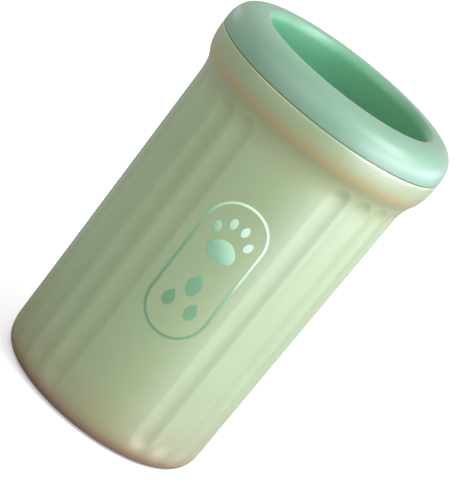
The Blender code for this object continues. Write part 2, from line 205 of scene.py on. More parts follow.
# A bar's section shrinks near its ends: a higher power shrinks it later, and the share is what is left
BAR_TAPER_POWER = 16
BAR_END_SHARE = 0.25


# ---------------------------------------------------------------- camera and light

# The camera, with its lens in millimetres and the rest in radians and metres
VIEW_AZIMUTH = math.radians(-3.1)
VIEW_ELEVATION = math.radians(16)
VIEW_ROLL = math.radians(38.35)
VIEW_DISTANCE = 0.8
VIEW_LENS = 169
VIEW_OFFSET = (1.73 * MM, 0.9 * MM)
VIEW_NEAR = 0.01

# Lights, in metres and watts
WHITE = (1, 1, 1)
COOL = (0.86, 0.83, 1.0)
STUDIO_REACH = 2.8
STRIP_Z = 0.3
STRIP_HEIGHT = 0.6
KEY_SIZE = (0.6, 0.6)
FILL_SIZE = (1.1, 1.1)
WORLD_LIGHT = 0.7
WORLD_SEEN = 1.0


def aim(obj, eye, target, roll=0.0):
    """Points a camera's or light's -Z from eye to target."""
    facing = (target - eye).to_track_quat("-Z", "Y").to_matrix().to_4x4()
    obj.matrix_world = Matrix.Translation(eye) @ facing @ Matrix.Rotation(roll, 4, "Z")


def make_camera():
    """The camera is rolled, so that the upright cup leans to the right in the picture."""
    camera = bpy.data.objects.new("camera", bpy.data.cameras.new("camera"))
    bpy.context.scene.collection.objects.link(camera)
    camera.data.lens = VIEW_LENS
    camera.data.clip_start = VIEW_NEAR
    back = Vector((
        math.sin(VIEW_AZIMUTH) * math.cos(VIEW_ELEVATION),
        -math.cos(VIEW_AZIMUTH) * math.cos(VIEW_ELEVATION),
        math.sin(VIEW_ELEVATION),
    ))
    right = Vector((math.cos(VIEW_AZIMUTH), math.sin(VIEW_AZIMUTH), 0))
    up = back.cross(right)
    centre = Vector((0, 0, HEIGHT / 2)) + right * VIEW_OFFSET[0] + up * VIEW_OFFSET[1]
    aim(camera, centre + back * VIEW_DISTANCE, centre, VIEW_ROLL)
    bpy.context.scene.camera = camera


def softbox(name, eye, target, size, power, colour=WHITE):
    data = bpy.data.lights.new(name, "AREA")
    data.shape = "RECTANGLE"
    data.size, data.size_y = size
    data.energy = power
    data.color = colour
    light = bpy.data.objects.new(name, data)
    bpy.context.scene.collection.objects.link(light)
    aim(light, Vector(eye), Vector(target))
    return light


def low_strip(name, azimuth, width, power, colour=WHITE):
    """A wide softbox near the floor, whose soft reflection lies on the upright wall."""
    turn = math.radians(azimuth)
    eye = (STUDIO_REACH * math.sin(turn), -STUDIO_REACH * math.cos(turn), STRIP_Z)
    softbox(name, eye, (0, 0, HEIGHT / 2), (width, STRIP_HEIGHT), power, colour)


def make_lights():
    """Strips from the right for the wall, high lights for the mouth, and a soft fill from the left."""
    middle, mouth = (0, 0, HEIGHT / 2), (0, 0, HEIGHT)
    low_strip("strip_front", azimuth=62, width=2.5, power=54, colour=COOL)
    low_strip("strip_side", azimuth=107, width=2.8, power=30, colour=COOL)
    low_strip("rim_left", azimuth=-145, width=1.0, power=2.0)
    softbox("key_high", (0.8, -0.25, 0.75), mouth, KEY_SIZE, power=7.5, colour=COOL)
    inside = softbox("key_inside", (0.7, -0.35, 0.95), mouth, KEY_SIZE, power=8, colour=COOL)
    inside.visible_glossy = False
    softbox("fill_left", (-0.6, -0.7, 0.55), middle, FILL_SIZE, power=3.5)


def make_world():
    """A white surround that lights the cup less brightly than it shows to the camera."""
    world = bpy.data.worlds.new("studio")
    bpy.context.scene.world = world
    world.use_nodes = True
    nodes, links = world.node_tree.nodes, world.node_tree.links
    background = nodes["Background"]
    background.inputs["Color"].default_value = (*WHITE, 1)
    rays = nodes.new("ShaderNodeLightPath")
    strength = nodes.new("ShaderNodeMapRange")
    strength.inputs["To Min"].default_value = WORLD_LIGHT
    strength.inputs["To Max"].default_value = WORLD_SEEN
    links.new(rays.outputs["Is Camera Ray"], strength.inputs["Value"])
    links.new(strength.outputs["Result"], background.inputs["Strength"])


# ---------------------------------------------------------------- materials

NOISE_RANGE = (0.3, 0.7)
GRAIN_STRENGTH = 0.12
GRAIN_DEPTH = 0.05 * MM
CLOUD_SHADE = (0.94, 0.95, 0.93)
# How far a moulded piece's roughness wanders below and above its own value
GLOSS_SPREAD = (-0.04, 0.05)
# How light spreads under the surface of the plastics and the silicone
SCATTER_RADIUS = (1, 1, 0.7)
SCATTER_DEPTH = 3 * MM

# The shell's colours up its height, in mm: its own sage, with painted warm shade that turns it tan under the
# collar and darkens it to brown towards the foot
SAGE = (0.25, 0.365, 0.143)
COLLAR_SHADE_TAN = (0.32, 0.28, 0.065)
SHELL_STOPS_WITH_PAINTED_SHADE = (
    (0, (0.13, 0.04, 0.003)), (2.5, (0.19, 0.09, 0.01)), (6, (0.23, 0.21, 0.06)),
    (12, (0.24, 0.28, 0.10)), (24, (0.245, 0.33, 0.125)), (50, SAGE), (114, SAGE),
    (125, (0.26, 0.33, 0.12)), (130.5, COLLAR_SHADE_TAN), (134, (0.245, 0.32, 0.12)), (139, (0.235, 0.345, 0.135)),
)

# The ring's own mint over its rim, and a deeper green down its inside that is painted shade
RING_INSIDE_SHADE = (0.095, 0.35, 0.17)
RING_RIM = (0.16, 0.32, 0.20)

# The print's colours, which climb along FOIL_LEAN from one distance to the other
FOIL_LEAN = (0.8, 0, 1)
FOIL_FROM = 45 * MM
FOIL_TO = 108 * MM
FOIL_STOPS = (
    (0.0, (0.14, 0.30, 0.16)), (0.35, (0.17, 0.37, 0.20)), (0.55, (0.23, 0.46, 0.28)),
    (0.7, (0.44, 0.72, 0.50)), (0.9, (0.68, 0.92, 0.68)), (1.0, (0.70, 0.94, 0.70)),
)
FOIL_SHADE = (0.97, 0.98, 0.97)
FOIL_GRAIN_STRENGTH = 0.02
FOIL_GRAIN_DEPTH = 0.01 * MM

# The floor as other pieces see it, and as the camera does
FLOOR_BOUNCE = (0.30, 0.30, 0.30)
FLOOR_PALE = (0.93, 0.93, 0.93)
FLOOR_PALEST = (0.96, 0.96, 0.96)
FLOOR_GLOW = 0.3


class Material:
    """A Principled material with a few helpers to build its colour, roughness and bump."""

    def __init__(self, name):
        self.data = bpy.data.materials.new(name)
        self.data.use_nodes = True
        self.nodes = self.data.node_tree.nodes
        self.links = self.data.node_tree.links
        self.shader = self.nodes["Principled BSDF"]
        self.place = self.nodes.new("ShaderNodeTexCoord").outputs["Object"]

    def set(self, **values):
        """Sets the shader's inputs by their names in lower case."""
        for name, value in values.items():
            socket = name.replace("_", " ").title().replace("Ior", "IOR")
            self.shader.inputs[socket].default_value = value

    def noise(self, scale, detail=3):
        texture = self.nodes.new("ShaderNodeTexNoise")
        texture.inputs["Scale"].default_value = scale
        texture.inputs["Detail"].default_value = detail
        self.links.new(self.place, texture.inputs["Vector"])
        return texture.outputs["Fac"]

    def axis(self, name):
        split = self.nodes.new("ShaderNodeSeparateXYZ")
        self.links.new(self.place, split.inputs["Vector"])
        return split.outputs[name]

    def radius(self):
        """How far a place is from the cup's axis."""
        flat = self.nodes.new("ShaderNodeVectorMath")
        flat.operation = "MULTIPLY"
        flat.inputs[1].default_value = (1, 1, 0)
        self.links.new(self.place, flat.inputs[0])
        length = self.nodes.new("ShaderNodeVectorMath")
        length.operation = "LENGTH"
        self.links.new(flat.outputs["Vector"], length.inputs[0])
        return length.outputs["Value"]

    def blend(self, noise, low, high):
        """A colour that wanders between two as the noise does."""
        return self.ramp(noise, ((NOISE_RANGE[0], low), (NOISE_RANGE[1], high)))

    def clouded(self, colour, scale):
        """The colour under a faint cloudy shade."""
        shade = self.blend(self.noise(scale, detail=4), CLOUD_SHADE, WHITE)
        return self.mix(1.0, colour, shade, "MULTIPLY")

    def uneven(self, noise, low, high):
        """Roughness that wanders between two values as the noise does."""
        self.links.new(self.ranged(noise, *NOISE_RANGE, low, high), self.shader.inputs["Roughness"])

    def ranged(self, value, low, high, to_low=0.0, to_high=1.0):
        """A value's way from low to high, put on another scale."""
        node = self.nodes.new("ShaderNodeMapRange")
        node.inputs["From Min"].default_value = low
        node.inputs["From Max"].default_value = high
        node.inputs["To Min"].default_value = to_low
        node.inputs["To Max"].default_value = to_high
        self.links.new(value, node.inputs["Value"])
        return node.outputs["Result"]

    def ramp(self, value, stops):
        node = self.nodes.new("ShaderNodeValToRGB")
        ramp = node.color_ramp
        ramp.interpolation = "EASE"
        while len(ramp.elements) < len(stops):
            ramp.elements.new(1)
        for element, (position, colour) in zip(ramp.elements, stops):
            element.position = position
            element.color = (*colour, 1)
        self.links.new(value, node.inputs["Fac"])
        return node.outputs["Color"]

    def mix(self, share, first, second, blend="MIX"):
        node = self.nodes.new("ShaderNodeMix")
        node.data_type = "RGBA"
        node.blend_type = blend
        self.feed(node.inputs[0], share)
        self.feed(node.inputs[6], first)
        self.feed(node.inputs[7], second)
        return node.outputs[2]

    def feed(self, socket, value):
        """Links a socket to another node's output, or sets it to a colour or a number."""
        if isinstance(value, bpy.types.NodeSocket):
            self.links.new(value, socket)
        elif isinstance(value, tuple):
            socket.default_value = (*value, 1)
        else:
            socket.default_value = value

    def colour(self, value):
        self.links.new(value, self.shader.inputs["Base Color"])

    def bump(self, height, strength, distance):
        node = self.nodes.new("ShaderNodeBump")
        node.inputs["Strength"].default_value = strength
        node.inputs["Distance"].default_value = distance
        self.links.new(height, node.inputs["Height"])
        self.links.new(node.outputs["Normal"], self.shader.inputs["Normal"])

    def grain(self, scale):
        """The fine even texture of a mould's surface."""
        self.bump(self.noise(scale, detail=2), GRAIN_STRENGTH, GRAIN_DEPTH)

    def soften(self, amount):
        self.set(subsurface_weight=amount, subsurface_radius=SCATTER_RADIUS, subsurface_scale=SCATTER_DEPTH)


def moulded(name, low, high, roughness, grain=900, soft=0.12):
    """Satin moulded plastic: faint cloudy colour, a fine grain, and a slightly uneven gloss."""
    material = Material(name)
    material.colour(material.blend(material.noise(scale=28, detail=4), low, high))
    material.uneven(material.noise(scale=180), roughness + GLOSS_SPREAD[0], roughness + GLOSS_SPREAD[1])
    material.grain(grain)
    material.soften(soft)
    return material


def shell_plastic():
    """Sage plastic, with painted warm shade that turns it tan under the collar and a darker brown round the
    foot.
    """
    material = Material("sage_plastic")
    share = material.ranged(material.axis("Z"), 0, HEIGHT)
    # The ramp paints warm shade onto the sage: tan under the collar, brown towards the foot
    height = material.ramp(share, [(z * MM / HEIGHT, colour) for z, colour in SHELL_STOPS_WITH_PAINTED_SHADE])
    material.colour(material.clouded(height, scale=24))
    material.uneven(material.noise(scale=160), low=0.37, high=0.46)
    material.grain(scale=950)
    material.soften(0.15)
    material.set(specular_ior_level=0.8, coat_weight=1.0, coat_roughness=0.42, coat_ior=2.25)
    return material


def ring_plastic():
    """Mint plastic in its own colour over the rim, with painted shade that turns it a deeper green down the
    inside.
    """
    material = Material("mint_plastic")
    share = material.ranged(material.radius(), SKIRT_RADIUS, RIM_CREST_RADIUS)
    # Painted shade: the ring darkens to a deeper green down its inside
    across = material.ramp(share, ((0.0, RING_INSIDE_SHADE), (1.0, RING_RIM)))
    material.colour(material.clouded(across, scale=28))
    material.uneven(material.noise(scale=180), low=0.38, high=0.47)
    material.grain(scale=900)
    material.soften(0.12)
    material.set(specular_ior_level=0.6, coat_weight=0.55, coat_roughness=0.45, coat_ior=1.8)
    return material


def silicone(name, low, high):
    """Soft matte silicone with a powdery sheen."""
    material = moulded(name, low, high, roughness=0.58, grain=1400, soft=0.35)
    material.set(sheen_weight=0.25, sheen_roughness=0.5)
    return material


def foil_print():
    """The emblem's thin glossy print: bright mint at its top and a deeper green below."""
    material = Material("foil_print")
    lean = material.nodes.new("ShaderNodeVectorMath")
    lean.operation = "DOT_PRODUCT"
    lean.inputs[1].default_value = FOIL_LEAN
    material.links.new(material.place, lean.inputs[0])
    share = material.ranged(lean.outputs["Value"], FOIL_FROM, FOIL_TO)
    grain = material.noise(scale=2200, detail=1)
    shade = material.blend(grain, FOIL_SHADE, WHITE)
    material.colour(material.mix(1.0, material.ramp(share, FOIL_STOPS), shade, "MULTIPLY"))
    material.uneven(grain, low=0.28, high=0.34)
    material.bump(grain, FOIL_GRAIN_STRENGTH, FOIL_GRAIN_DEPTH)
    material.set(metallic=0.15)
    return material


def floor_paint():
    """A pale sweep that throws less light back up at the cup than it shows to the camera."""
    material = Material("studio_floor")
    pale = material.blend(material.noise(scale=9), FLOOR_PALE, FLOOR_PALEST)
    seen = material.nodes.new("ShaderNodeLightPath").outputs["Is Camera Ray"]
    material.colour(material.mix(seen, FLOOR_BOUNCE, pale))
    glow = material.ranged(seen, 0, 1, 0, FLOOR_GLOW)
    material.links.new(glow, material.shader.inputs["Emission Strength"])
    material.set(roughness=0.6, emission_color=(*WHITE, 1))
    return material


# ---------------------------------------------------------------- mesh helpers

def shade_smooth(mesh, sharp_angle=SHARP_ANGLE):
    mesh.shade_smooth()
    mesh.set_sharp_from_angle(angle=math.radians(sharp_angle))


def add_piece(name, bm, material, sharp_angle=SHARP_ANGLE):
    bmesh.ops.recalc_face_normals(bm, faces=bm.faces)
    mesh = bpy.data.meshes.new(name)
    bm.to_mesh(mesh)
    bm.free()
    shade_smooth(mesh, sharp_angle)
    mesh.materials.append(material.data)
    obj = bpy.data.objects.new(name, mesh)
    bpy.context.scene.collection.objects.link(obj)
    return obj


def stand_for(piece, body, slot, *nodes):
    """Puts a piece on a body and, if it names CAD nodes, in their place."""
    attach(piece, body)
    if nodes:
        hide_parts(*nodes)


def arc(centre_r, centre_z, radius_r, radius_z, start, end, count):
    """Points round an ellipse, as (radius, height), from one angle in degrees to another."""
    points = []
    for i in range(count + 1):
        angle = math.radians(start + (end - start) * i / count)
        points.append((centre_r + radius_r * math.cos(angle), centre_z + radius_z * math.sin(angle)))
    return points


def ogee(start, end, count, pull=0.65):
    """A Bezier S-curve between two (radius, height) points, upright at both ends."""
    points = []
    for i in range(count + 1):
        t = i / count
        early = 3 * (1 - t) ** 2 * t
        late = 3 * (1 - t) * t**2
        across = late + t**3
        up = early * pull + late * (1 - pull) + t**3
        points.append((start[0] + (end[0] - start[0]) * across, start[1] + (end[1] - start[1]) * up))
    return points


def rounded(corners, radius, steps=4):
    """A closed outline with each of its corners eased by a small curve."""
    points = []
    count = len(corners)
    for i, corner in enumerate(corners):
        here = Vector(corner)
        before = Vector(corners[i - 1]) - here
        after = Vector(corners[(i + 1) % count]) - here
        reach = min(radius, before.length * MOST_OF_AN_EDGE, after.length * MOST_OF_AN_EDGE)
        start = here + before.normalized() * reach
        end = here + after.normalized() * reach
        for k in range(steps + 1):
            t = k / steps
            point = start * (1 - t) ** 2 + here * 2 * t * (1 - t) + end * t**2
            points.append(tuple(point))
    return points


def lathe(outline, turns=RIM_TURNS, shape=None):
    """Turns a closed outline of (radius, height) about Z, where shape may change a point's radius."""
    bm = bmesh.new()
    columns = []
    for i in range(turns):
        turn = 2 * math.pi * i / turns
        column = []
        for r, z in outline:
            reach = shape(turn, r, z) if shape else r
            column.append(bm.verts.new((reach * math.cos(turn), reach * math.sin(turn), z)))
        columns.append(column)
    count = len(outline)
    for i in range(turns):
        here, there = columns[i], columns[(i + 1) % turns]
        for k in range(count):
            m = (k + 1) % count
            bm.faces.new((here[k], there[k], there[m], here[m]))
    bmesh.ops.remove_doubles(bm, verts=bm.verts, dist=SAME_PLACE)
    return bm


def curved_bar(inner, outer, low_z, height, span, centre_angle, lead=0.0, ease=0.35 * MM):
    """A bar with eased edges and ends round Z, climbing as a thread does if it has a lead."""
    section = rounded(((inner, 0), (outer, 0), (outer, height), (inner, height)), ease, 3)
    bm = bmesh.new()
    rows = []
    middle_r, middle_z = (inner + outer) / 2, height / 2
    for i in range(BAR_STEPS + 1):
        t = i / BAR_STEPS
        swing = span * (t - 0.5)
        turn = centre_angle + swing
        taper = min(1.0, math.sqrt(1 - abs(2 * t - 1) ** BAR_TAPER_POWER) + BAR_END_SHARE)
        row = []
        for r, z in section:
            reach = middle_r + (r - middle_r) * taper
            rise = low_z + middle_z + (z - middle_z) * taper + lead * swing / (2 * math.pi)
            row.append(bm.verts.new((reach * math.cos(turn), reach * math.sin(turn), rise)))
        rows.append(row)
    for here, there in zip(rows, rows[1:]):
        for k in range(len(section)):
            m = (k + 1) % len(section)
            bm.faces.new((here[k], here[m], there[m], there[k]))
    bm.faces.new(rows[0])
    bm.faces.new(rows[-1][::-1])
    return bm


def merged(pieces):
    """One mesh with all the pieces in it, each still its own shell."""
    whole = bmesh.new()
    for bm in pieces:
        mesh = bpy.data.meshes.new("part")
        bm.to_mesh(mesh)
        bm.free()
        whole.from_mesh(mesh)
        bpy.data.meshes.remove(mesh)
    return whole


# ---------------------------------------------------------------- outer cup

def wall_radius(z):
    """Outer radius of the plain wall at a height."""
    low = BASE_Z + CORNER_HEIGHT
    return BASE_RADIUS + (NECK_RADIUS - BASE_RADIUS) * (z - low) / (NECK_Z - low)


def smooth_step(value, low, high):
    """0 below low, 1 above high, and an even slope between them with soft ends."""
    t = min(1.0, max(0.0, (value - low) / (high - low)))
    return t * t * (3 - 2 * t)


def flute_depth(turn, r, z):
    """How far a flute sinks the surface at this place: a soft round-topped channel."""
    from_front = (turn + math.pi / 2) % (2 * math.pi)
    nearest = round(from_front / FLUTE_PITCH)
    centre = nearest * FLUTE_PITCH
    if min(centre, 2 * math.pi - centre) < SMOOTH_FRONT:
        return 0.0
    across = (from_front - centre) * r
    end_z = FLUTE_TOP_Z - FLUTE_WIDTH / 2
    above = max(0.0, z - end_z)
    share = min(1.0, math.hypot(across, above) / (FLUTE_WIDTH / 2))
    return FLUTE_DEPTH * (1 - share**2) ** FLUTE_ROUNDNESS * smooth_step(z, *FLUTE_FADE)


def straight_wall():
    """Points down the outer wall, close together below the neck and where the flutes fade out."""
    heights = [NECK_Z - i * WALL_FINE_STEP for i in (1, 2)]
    z = NECK_Z - 3 * WALL_FINE_STEP
    while z > WALL_FINE_Z:
        heights.append(z)
        z -= WALL_STEP
    while z > BASE_Z + CORNER_HEIGHT + WALL_FINE_STEP / 2:
        heights.append(z)
        z -= WALL_FINE_STEP
    return [(wall_radius(z), z) for z in heights]


def shell_underside():
    """The groove for the foot ring and the flat middle of the base, from the outside in."""
    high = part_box("foot_ring")[1]
    groove_out = high.x + GAP
    groove_in = high.x - FOOT_RING_WIDTH - GAP
    groove_z = high.z + GAP
    return [
        (groove_out, BASE_Z), (groove_out, groove_z), (groove_in, groove_z), (groove_in, BASE_Z), (0, BASE_Z),
    ]


def shell_inside(lip_z):
    """The inner wall up to the lip, with the ledge that holds the liner's flange and the tongue above it."""
    collar_in = COLLAR_RADIUS - CUP_WALL
    floor_z = BASE_Z + CUP_FLOOR
    corner_width, corner_height = CORNER_WIDTH - CUP_WALL, CORNER_HEIGHT - CUP_WALL
    ledge_low = LEDGE_TOP_Z - LEDGE_WALL
    tongue_z = lip_z + TONGUE_HEIGHT
    inner_neck = ogee((NECK_RADIUS - CUP_WALL, NECK_Z), (collar_in, lip_z), count=20)
    points = [(0, floor_z)]
    points += arc(
        BASE_RADIUS - CORNER_WIDTH, floor_z + corner_height, corner_width, corner_height, -90, 0, count=8,
    )
    points += [point for point in inner_neck if point[1] < ledge_low - MM]
    points += [
        (collar_in, ledge_low), (LEDGE_RADIUS, ledge_low), (LEDGE_RADIUS, LEDGE_TOP_Z),
        (collar_in, LEDGE_TOP_Z), (collar_in, tongue_z), (collar_in + TONGUE_WALL, tongue_z),
        (collar_in + TONGUE_WALL, lip_z),
    ]
    return points


def outer_shell(material):
    lip_z = SEAM_Z - SEAM_GAP / 2
    corner_r = BASE_RADIUS - CORNER_WIDTH
    outside = [(COLLAR_RADIUS - EDGE_EASE, lip_z), (COLLAR_RADIUS - EDGE_EASE / 3, lip_z - EDGE_EASE / 3)]
    outside += ogee((NECK_RADIUS, NECK_Z), (COLLAR_RADIUS, lip_z - EDGE_EASE), count=44)[::-1]
    outside += straight_wall()
    outside += arc(corner_r, BASE_Z + CORNER_HEIGHT, CORNER_WIDTH, CORNER_HEIGHT, 0, -90, count=18)
    fluted = {point for point in outside if point[1] < FLUTE_TOP_Z}

    def shape(turn, r, z):
        return r - flute_depth(turn, r, z) if (r, z) in fluted else r

    outline = outside + shell_underside() + shell_inside(lip_z)
    shell = add_piece("outer_shell", lathe(outline, FLUTED_TURNS, shape), material)
    stand_for(shell, "cup", "shell", "outer_cup")


# ---------------------------------------------------------------- mouth ring

def rim_curve(count):
    """The rim's outer side, from its crest down to its edge: fuller than a plain ellipse."""
    points = []
    for i in range(count + 1):
        angle = math.pi / 2 * (1 - i / count)
        across = math.cos(angle) ** (2 / RIM_FULLNESS)
        up = math.sin(angle) ** (2 / RIM_FULLNESS)
        points.append((
            RIM_CREST_RADIUS + (COLLAR_RADIUS - RIM_CREST_RADIUS) * across,
            SEAM_Z + (HEIGHT - SEAM_Z) * up,
        ))
    return points


def mouth_ring(material):
    low_z = SEAM_Z + SEAM_GAP / 2
    skirt_out = SKIRT_RADIUS + SKIRT_WALL
    inner_reach = RIM_CREST_RADIUS - SKIRT_RADIUS
    inner_wall = COLLAR_RADIUS - CUP_WALL
    rabbet = inner_wall + TONGUE_WALL + SEAM_GAP
    rabbet_z = SEAM_Z + TONGUE_HEIGHT + 2 * SEAM_GAP
    outline = [(SKIRT_RADIUS, SKIRT_BOTTOM_Z + SKIRT_EASE)]
    outline += [(SKIRT_RADIUS, z) for z in SKIRT_ROWS_Z]
    outline += arc(RIM_CREST_RADIUS, RIM_INNER_Z, inner_reach, HEIGHT - RIM_INNER_Z, 180, 90, count=16)
    outline += rim_curve(count=48)[1:-1]
    outline += [(COLLAR_RADIUS - EDGE_EASE / 3, low_z + EDGE_EASE / 3), (COLLAR_RADIUS - EDGE_EASE, low_z)]
    outline += [(rabbet, low_z), (rabbet, rabbet_z), (inner_wall, rabbet_z)]
    roof_rise = HEIGHT - RIM_ROOF - rabbet_z
    outline += arc(RIM_CREST_RADIUS, rabbet_z, inner_wall - RIM_CREST_RADIUS, roof_rise, 0, 90, count=14)[1:]
    outline += [(skirt_out, HEIGHT - 2 * RIM_ROOF), (skirt_out, SKIRT_BOTTOM_Z + SKIRT_EASE)]
    outline += [(skirt_out - SKIRT_EASE, SKIRT_BOTTOM_Z), (SKIRT_RADIUS + SKIRT_EASE, SKIRT_BOTTOM_Z)]
    ring = add_piece("mouth_ring_skin", lathe(outline), material)
    stand_for(ring, "mouth_ring", "ring", "mouth_ring")
    lugs = thread(skirt_out - THREAD_SINK, LUG_RADIUS, THREAD_Z, LUG_ARC)
    stand_for(add_piece("thread_lugs", lugs, material), "mouth_ring", "ring")


def thread(inner, outer, low_z, span):
    """One climbing bar for each start of the thread."""
    bars = []
    for i in range(THREAD_STARTS):
        turn = 2 * math.pi * i / THREAD_STARTS
        bars.append(curved_bar(inner, outer, low_z, THREAD_WIDTH, span, turn, THREAD_LEAD))
    return merged(bars)


def gasket(material):
    low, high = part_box("ring_gasket")
    inner = SKIRT_RADIUS + GAP
    outline = rounded(((inner, low.z), (high.x, low.z), (high.x, high.z), (inner, high.z)), GASKET_EASE)
    stand_for(add_piece("gasket", lathe(outline), material), "ring_seal", "seal", "ring_gasket")


# ---------------------------------------------------------------- liner and foot

def liner(material):
    floor_in = LINER_FLOOR_Z + LINER_WALL
    inner_corner = LINER_CORNER - LINER_WALL
    neck_out = NECK_BORE + LINER_WALL
    step_out = LINER_STEP_Z - LINER_WALL
    flange_low = FLANGE_Z - LINER_WALL
    inner_r = LINER_BASE_RADIUS - inner_corner
    outer_r = LINER_BASE_RADIUS + LINER_WALL - LINER_CORNER
    neck = (
        (LINER_TOP_RADIUS, LINER_STEP_Z), (NECK_BORE, LINER_STEP_Z), (NECK_BORE, FLANGE_Z),
        (FLANGE_RADIUS, FLANGE_Z), (FLANGE_RADIUS, flange_low), (neck_out, flange_low),
        (neck_out, step_out), (LINER_TOP_RADIUS + LINER_WALL, step_out),
    )
    outline = [(0, floor_in)]
    outline += arc(inner_r, floor_in + inner_corner, inner_corner, inner_corner, -90, 0, count=10)
    outline += rounded(neck, LINER_EASE)
    outline += arc(outer_r, LINER_FLOOR_Z + LINER_CORNER, LINER_CORNER, LINER_CORNER, 0, -90, count=10)
    outline += [(0, LINER_FLOOR_Z)]
    stand_for(add_piece("liner_skin", lathe(outline), material), "cup", "liner", "inner_liner")
    rib_z = THREAD_Z + THREAD_WIDTH + GAP
    ribs = thread(RIB_RADIUS, NECK_BORE + THREAD_SINK, rib_z, RIB_ARC)
    stand_for(add_piece("thread_ribs", ribs, material), "cup", "liner")


def foot(material):
    """The anti-slip ring, with shallow grooves between its treads."""
    low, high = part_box("foot_ring")
    inner = high.x - FOOT_RING_WIDTH
    step = FOOT_RING_WIDTH / (2 * TREADS - 1)
    groove_z = low.z + TREAD_GROOVE
    corners = [(inner, high.z), (high.x, high.z), (high.x, low.z)]
    for i in range(1, TREADS):
        edge = high.x - (2 * i - 1) * step
        corners += [(edge, low.z), (edge, groove_z), (edge - step, groove_z), (edge - step, low.z)]
    corners.append((inner, low.z))
    outline = rounded(corners, EDGE_EASE, steps=2)
    stand_for(add_piece("foot_tread", lathe(outline, PLAIN_TURNS), material), "cup", "foot", "foot_ring")


# ---------------------------------------------------------------- brush insert

def rounded_block(width, depth, height, radius):
    """A block with round corners seen along Y, from its centre."""
    side, top = width / 2, height / 2
    corners = ((-side, -top), (side, -top), (side, top), (-side, top))
    outline = rounded(corners, radius, steps=6)
    bm = bmesh.new()
    front = bm.faces.new([bm.verts.new((x, -depth / 2, z)) for x, z in outline])
    made = bmesh.ops.extrude_face_region(bm, geom=[front])
    verts = [item for item in made["geom"] if isinstance(item, bmesh.types.BMVert)]
    bmesh.ops.translate(bm, vec=(0, depth, 0), verts=verts)
    bmesh.ops.recalc_face_normals(bm, faces=bm.faces)
    return bm


def bake(target):
    """Replaces an object's mesh with what its modifiers make of it."""
    graph = bpy.context.evaluated_depsgraph_get()
    mesh = bpy.data.meshes.new_from_object(target.evaluated_get(graph))
    target.modifiers.clear()
    target.data = mesh


def apply_boolean(target, cutter_bm, operation):
    """Joins a mesh to a piece, or cuts it out of the piece."""
    mesh = bpy.data.meshes.new("cutter")
    cutter_bm.to_mesh(mesh)
    cutter_bm.free()
    cutter = bpy.data.objects.new("cutter", mesh)
    bpy.context.scene.collection.objects.link(cutter)
    modifier = target.modifiers.new("cut", "BOOLEAN")
    modifier.operation = operation
    modifier.object = cutter
    bake(target)
    bpy.data.objects.remove(cutter)


def pull_tabs():
    """Two upright tabs to lift the insert by, rooted in the top of the cage's wall."""
    inner = CARRIER_RADIUS - CARRIER_WALL + TAB_INSET
    outer = CARRIER_RADIUS - TAB_INSET
    root_z = CARRIER_TOP_Z - TAB_ROOT
    height = TAB_TOP_Z - root_z
    return merged([
        curved_bar(inner, outer, root_z, height, TAB_ARC, turn, ease=TAB_EASE) for turn in (0, math.pi)
    ])


def cage_openings():
    """Cutters for the panels' windows in the cage's wall and the drain slots in its floor."""
    window_centre = Vector((0, CARRIER_RADIUS - CARRIER_WALL / 2, (WINDOW_LOW_Z + WINDOW_HIGH_Z) / 2))
    slot_centre = Vector((SLOT_CENTRE_RADIUS, 0, CARRIER_BOTTOM_Z + CARRIER_FLOOR / 2))
    lay_flat = Matrix.Rotation(math.pi / 2, 4, "X")
    cutters = []
    for i in range(PANEL_COUNT):
        turn = 2 * math.pi * (i + 0.5) / PANEL_COUNT
        bm = rounded_block(WINDOW_WIDTH, 4 * CARRIER_WALL, WINDOW_HIGH_Z - WINDOW_LOW_Z, WINDOW_CORNER)
        place = Matrix.Rotation(turn - math.pi / 2, 4, "Z") @ Matrix.Translation(window_centre)
        bmesh.ops.transform(bm, matrix=place, verts=bm.verts)
        cutters.append(bm)
    for i in range(PANEL_COUNT):
        turn = 2 * math.pi * i / PANEL_COUNT
        bm = rounded_block(SLOT_LENGTH, 4 * CARRIER_FLOOR, SLOT_WIDTH, SLOT_CORNER)
        place = Matrix.Rotation(turn, 4, "Z") @ Matrix.Translation(slot_centre) @ lay_flat
        bmesh.ops.transform(bm, matrix=place, verts=bm.verts)
        cutters.append(bm)
    return merged(cutters)


def carrier(material):
    """The cage: a round tub with tabs, windows and drain slots, and all its edges eased."""
    inner = CARRIER_RADIUS - CARRIER_WALL
    floor_in = CARRIER_BOTTOM_Z + CARRIER_FLOOR
    outline = [
        (0, floor_in), (inner, floor_in), (inner, CARRIER_TOP_Z), (CARRIER_RADIUS, CARRIER_TOP_Z),
        (CARRIER_RADIUS, CARRIER_BOTTOM_Z + CARRIER_CHAMFER),
        (CARRIER_RADIUS - CARRIER_CHAMFER, CARRIER_BOTTOM_Z), (0, CARRIER_BOTTOM_Z),
    ]
    cage = add_piece("carrier_cage", lathe(outline, PLAIN_TURNS), material)
    apply_boolean(cage, pull_tabs(), "UNION")
    apply_boolean(cage, cage_openings(), "DIFFERENCE")
    bevel = cage.modifiers.new("ease", "BEVEL")
    bevel.width = CARRIER_BEVEL
    bevel.segments = 2
    bevel.limit_method = "ANGLE"
    bevel.angle_limit = math.radians(CAGE_SHARP_ANGLE)
    bake(cage)
    shade_smooth(cage.data)
    stand_for(cage, "brush_insert", "carrier", "brush_carrier")


def finger_profile():
    """A finger's (width, place along it): a flared root, an even taper and a round tip."""
    cap_start = 1 - FINGER_CAP
    profile = [*FINGER_ROOT, ((1 + FINGER_TIP_WIDTH) / 2, FINGER_MIDDLE), (FINGER_TIP_WIDTH, cap_start)]
    for angle in FINGER_CAP_ANGLES:
        profile.append((FINGER_TIP_WIDTH * math.cos(angle), cap_start + FINGER_CAP * math.sin(angle)))
    return profile


